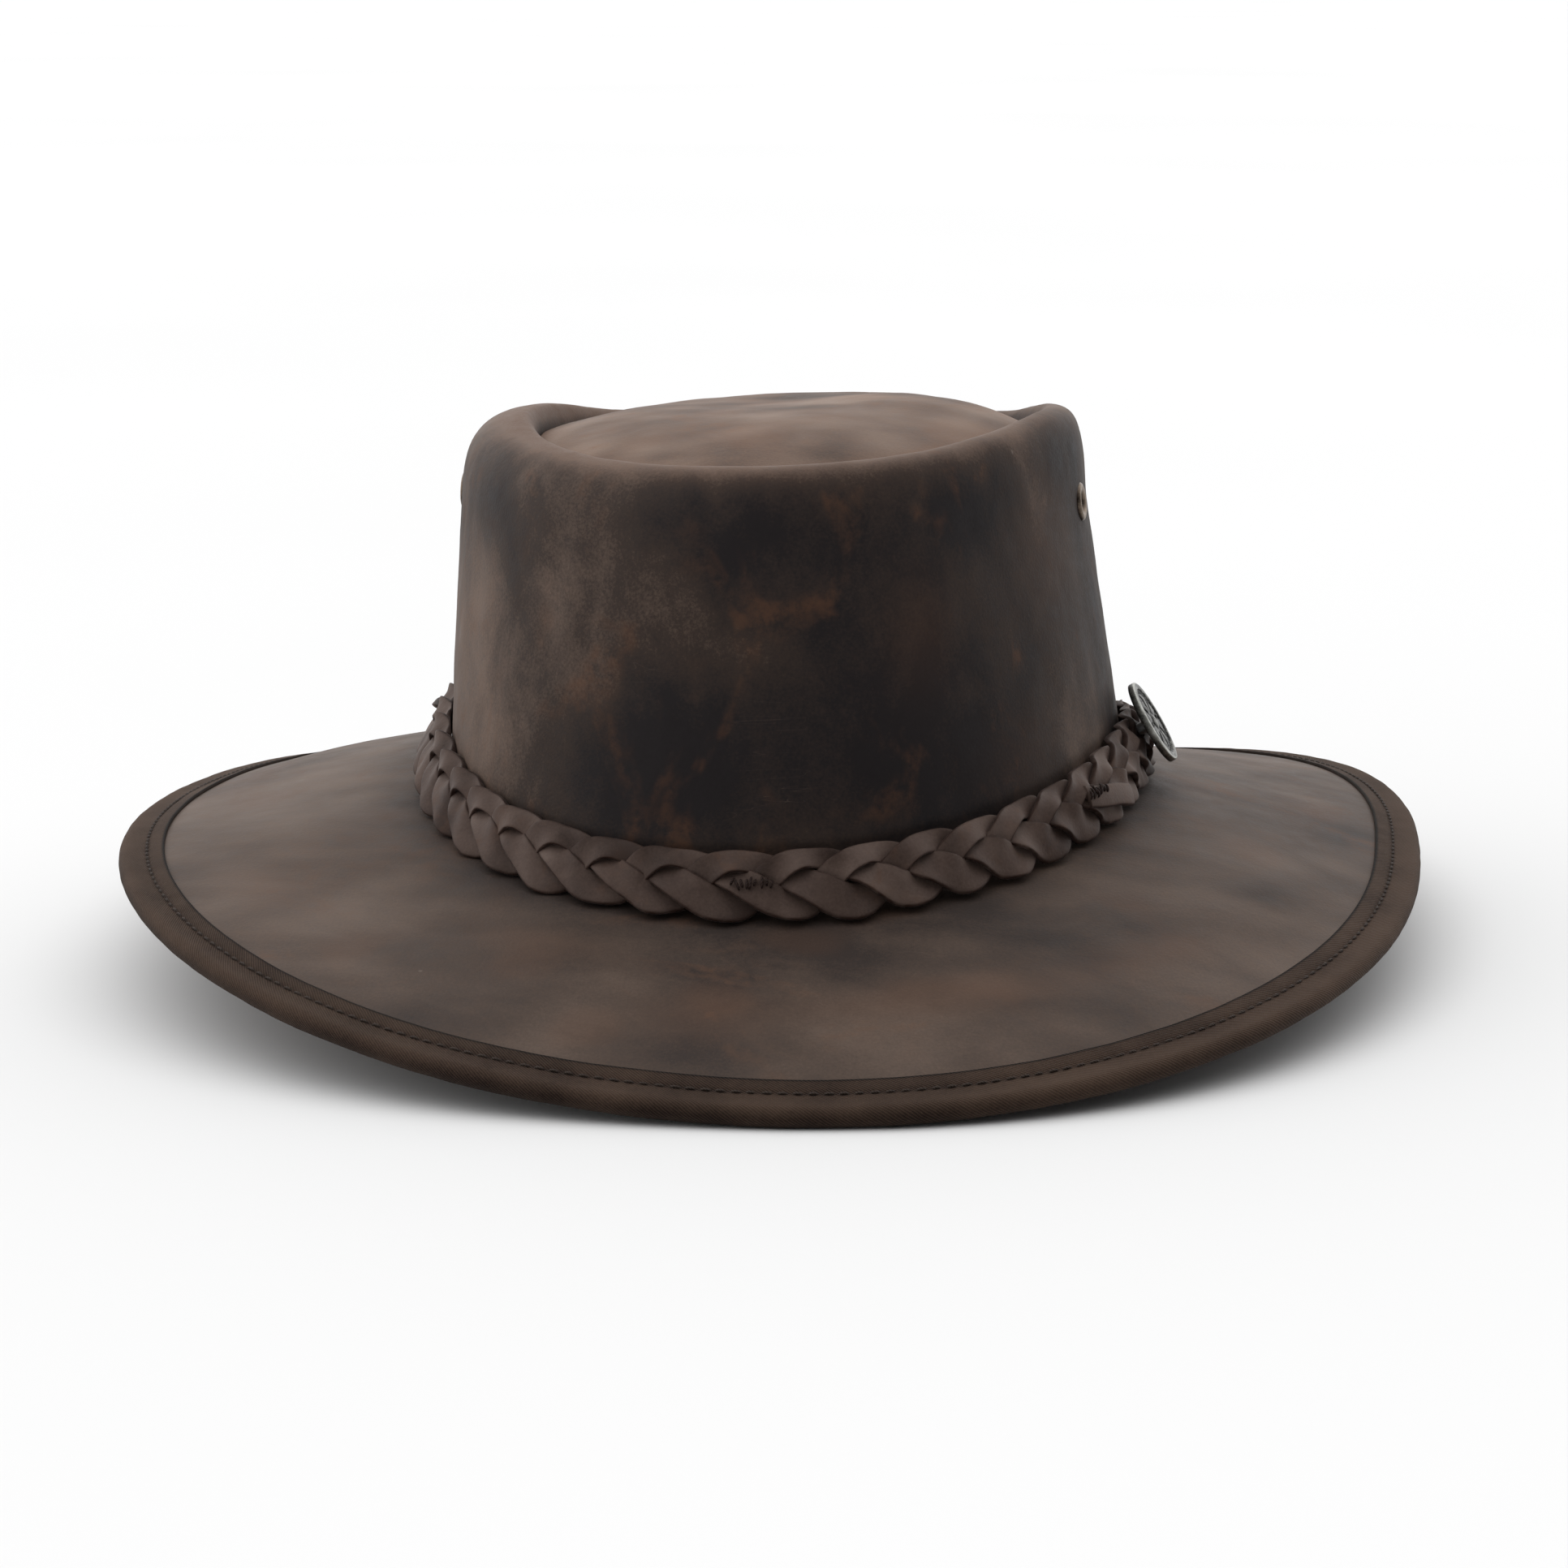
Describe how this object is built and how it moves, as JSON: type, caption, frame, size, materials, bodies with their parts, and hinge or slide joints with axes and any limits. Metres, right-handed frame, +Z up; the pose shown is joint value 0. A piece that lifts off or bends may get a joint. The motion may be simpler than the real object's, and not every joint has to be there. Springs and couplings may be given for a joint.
{
  "type": "leather bush hat",
  "caption": "Brown oiled-leather bush hat: oval crown with inset domed tip, wired saddle brim, plaited band, round metal badge, side vent eyelets.",
  "frame": {"origin": "middle of the footprint, on the surface that the brim stands on", "axes": "+Z up, -Y is the hat's front, +X is the wearer's left"},
  "size_m": [0.3218, 0.37, 0.1344],
  "materials": {
    "crown_leather": "matt oiled pull-up leather, dark brown with lighter rubbed edges",
    "brim_leather": "matt oiled pull-up leather, brown with dark and orange-brown mottling",
    "binding_fabric": "dark brown fine twill tape",
    "wire_steel": "drawn spring wire",
    "sleeve_brass": "plain crimped sleeve",
    "sweatband_fabric": "soft woven cotton band",
    "eyelet_metal": "antique bronze, satin",
    "plait_leather": "matt oiled leather strap with raw cut edges",
    "badge_metal": "antique silver, dark in the recesses",
    "screw_metal": "plain plated",
    "thread": "waxed dark brown thread"
  },
  "bodies": {
    "hat": {"crown_side": "crown_leather", "crown_tip": "crown_leather", "brim": "brim_leather", "brim_binding": "binding_fabric", "brim_wire": "wire_steel", "wire_sleeve": "sleeve_brass", "sweatband": "sweatband_fabric", "vent_eyelet_right": "eyelet_metal", "vent_eyelet_left": "eyelet_metal", "vent_washer_right": "eyelet_metal", "vent_washer_left": "eyelet_metal", "tip_seam_thread": "thread", "back_seam_thread": "thread", "brim_seam_thread": "thread", "binding_thread": "thread", "sweatband_thread": "thread"},
    "hat_band": {"braid_strand_1": "plait_leather", "braid_strand_2": "plait_leather", "braid_strand_3": "plait_leather", "band_end_tab": "plait_leather", "badge_screw": "screw_metal", "badge_nut": "screw_metal", "plait_tack_stitches": "thread"},
    "badge": {"badge_disc": "badge_metal"}
  },
  "joints": [
    {"name": "band_lift", "type": "slide", "parent": "hat", "child": "hat_band", "axis": [0, 0, 1], "range_m": [0, 0.12]},
    {"name": "badge_turn", "type": "hinge", "parent": "hat_band", "child": "badge", "pos_m": [0.0926, 0, 0.05396], "axis": [0.8572, 0, 0.515], "continuous": true}
  ]
}
